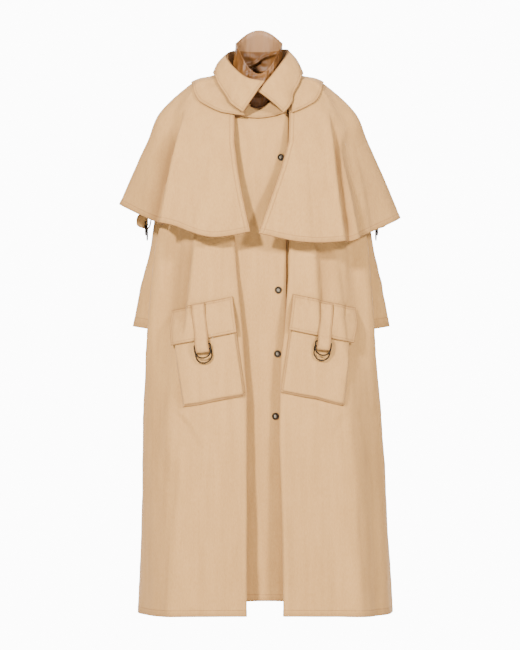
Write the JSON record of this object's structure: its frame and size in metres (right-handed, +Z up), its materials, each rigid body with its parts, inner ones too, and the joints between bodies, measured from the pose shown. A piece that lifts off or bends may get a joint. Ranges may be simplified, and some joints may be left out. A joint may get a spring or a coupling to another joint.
{
  "type": "caped coat",
  "caption": "Long hollow A-line coat with shoulder cape, round yoke collar, shirt collar, satin neck funnel, snap front, cargo pockets and D-ring tabs.",
  "frame": {"origin": "inside the neck opening, at the level where the wearer's shoulders carry the coat", "axes": "+X to the viewer's right seen from the front, +Y to the back of the coat, +Z up"},
  "size_m": [0.6743, 0.3865, 1.4021],
  "materials": {
    "gabardine": "matte cotton gabardine, fine twill, sand",
    "satin": "brown satin, scrunched",
    "rings": "dark gunmetal",
    "snaps": "antique silver"
  },
  "bodies": {
    "coat": {"back": "gabardine", "front_left": "gabardine", "front_right": "gabardine", "cape_left": "gabardine", "cape_right": "gabardine", "cape_back": "gabardine", "yoke_left": "gabardine", "yoke_right": "gabardine", "yoke_centre": "gabardine", "sleeve_left": "gabardine", "sleeve_right": "gabardine", "collar": "gabardine", "collar_stand": "gabardine", "pocket_left": "gabardine", "flap_left": "gabardine", "pocket_tab_left": "gabardine", "pocket_right": "gabardine", "flap_right": "gabardine", "pocket_tab_right": "gabardine", "sleeve_tab_left": "gabardine", "sleeve_tab_right": "gabardine", "neck_funnel": "satin", "snap_1": "snaps", "snap_2": "snaps", "snap_3": "snaps", "snap_4": "snaps", "snap_5": "snaps"},
    "ring_pocket_left_under": {"ring_pocket_left_under": "rings"},
    "ring_pocket_left_upper": {"ring_pocket_left_upper": "rings"},
    "ring_pocket_right_under": {"ring_pocket_right_under": "rings"},
    "ring_pocket_right_upper": {"ring_pocket_right_upper": "rings"},
    "ring_sleeve_left_under": {"ring_sleeve_left_under": "rings"},
    "ring_sleeve_left_upper": {"ring_sleeve_left_upper": "rings"},
    "ring_sleeve_right_under": {"ring_sleeve_right_under": "rings"},
    "ring_sleeve_right_upper": {"ring_sleeve_right_upper": "rings"}
  },
  "joints": [
    {"name": "ring_pocket_left_under_swing", "type": "hinge", "parent": "coat", "child": "ring_pocket_left_under", "pos_m": [-0.12576, -0.17147, -0.62621], "axis": [-0.9681, 0.2059, -0.143], "range_deg": [0, 130]},
    {"name": "ring_pocket_left_upper_swing", "type": "hinge", "parent": "coat", "child": "ring_pocket_left_upper", "pos_m": [-0.12821, -0.1743, -0.61443], "axis": [-0.9681, 0.2059, -0.143], "range_deg": [0, 130]},
    {"name": "ring_pocket_right_under_swing", "type": "hinge", "parent": "coat", "child": "ring_pocket_right_under", "pos_m": [0.15317, -0.16951, -0.62016], "axis": [-0.9514, -0.2693, 0.1496], "range_deg": [0, 130]},
    {"name": "ring_pocket_right_upper_swing", "type": "hinge", "parent": "coat", "child": "ring_pocket_right_upper", "pos_m": [0.15582, -0.17217, -0.60831], "axis": [-0.9514, -0.2693, 0.1496], "range_deg": [0, 130]},
    {"name": "ring_sleeve_left_under_swing", "type": "hinge", "parent": "coat", "child": "ring_sleeve_left_under", "pos_m": [-0.2653, 0.038, -0.3326], "axis": [0, 1, 0], "range_deg": [0, 55]},
    {"name": "ring_sleeve_left_upper_swing", "type": "hinge", "parent": "coat", "child": "ring_sleeve_left_upper", "pos_m": [-0.2691, 0.038, -0.32], "axis": [0, 1, 0], "range_deg": [0, 55]},
    {"name": "ring_sleeve_right_under_swing", "type": "hinge", "parent": "coat", "child": "ring_sleeve_right_under", "pos_m": [0.2869, 0.038, -0.3326], "axis": [0, -1, 0], "range_deg": [0, 55]},
    {"name": "ring_sleeve_right_upper_swing", "type": "hinge", "parent": "coat", "child": "ring_sleeve_right_upper", "pos_m": [0.2907, 0.038, -0.32], "axis": [0, -1, 0], "range_deg": [0, 55]}
  ],
  "couplings": [
    {"joint": "ring_pocket_left_upper_swing", "follows": "ring_pocket_left_under_swing", "ratio": 1},
    {"joint": "ring_pocket_right_upper_swing", "follows": "ring_pocket_right_under_swing", "ratio": 1},
    {"joint": "ring_sleeve_left_upper_swing", "follows": "ring_sleeve_left_under_swing", "ratio": 1},
    {"joint": "ring_sleeve_right_upper_swing", "follows": "ring_sleeve_right_under_swing", "ratio": 1}
  ]
}
